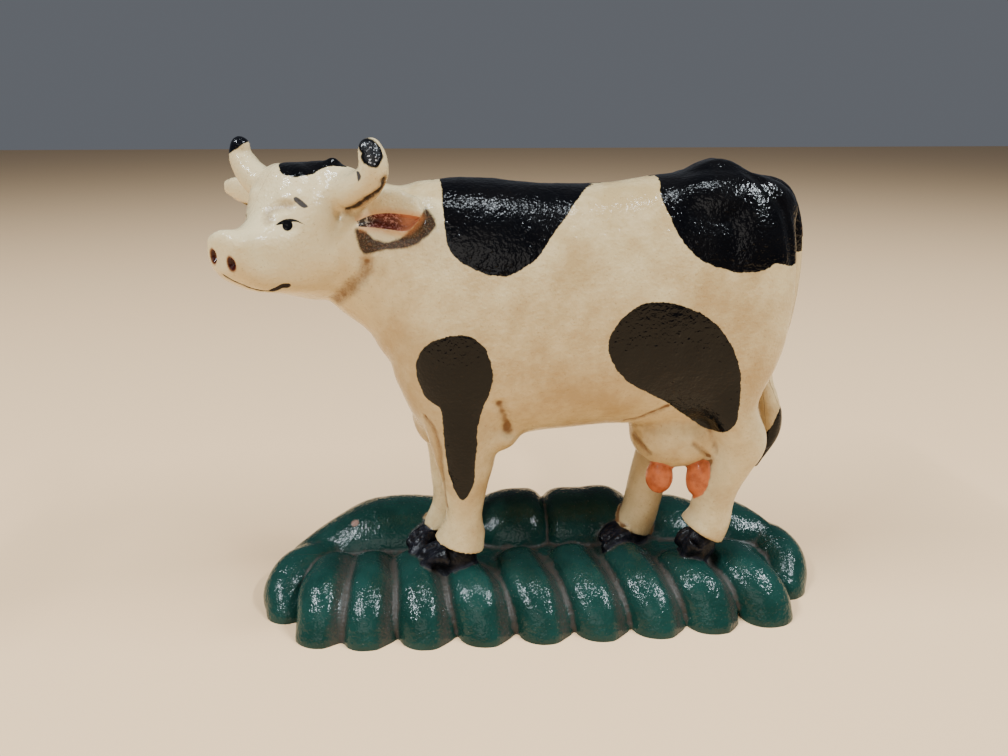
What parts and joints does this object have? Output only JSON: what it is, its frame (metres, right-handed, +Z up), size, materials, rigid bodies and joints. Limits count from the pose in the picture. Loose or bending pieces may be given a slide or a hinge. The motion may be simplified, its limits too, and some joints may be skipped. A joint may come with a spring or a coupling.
{
  "type": "cast iron doorstop",
  "caption": "Hollow two-part cast iron doorstop, a standing dairy cow with turned head on a scalloped oval mound, drawn together by slotted screws.",
  "frame": {"origin": "on the table, under the middle of the whole object", "axes": "+Z up, X along the cow with the nose at -X and the tail at +X, -Y towards the cow's left side, which the picture shows"},
  "size_m": [0.2142, 0.075, 0.1676],
  "materials": {
    "painted_cast_iron": "hand-painted semi-gloss enamel over rough sand-cast iron",
    "screw_steel": "blackened steel"
  },
  "bodies": {
    "root": {"near_half_casting": "painted_cast_iron", "far_half_casting": "painted_cast_iron", "front_screw": "screw_steel", "rear_screw": "screw_steel"}
  },
  "joints": []
}
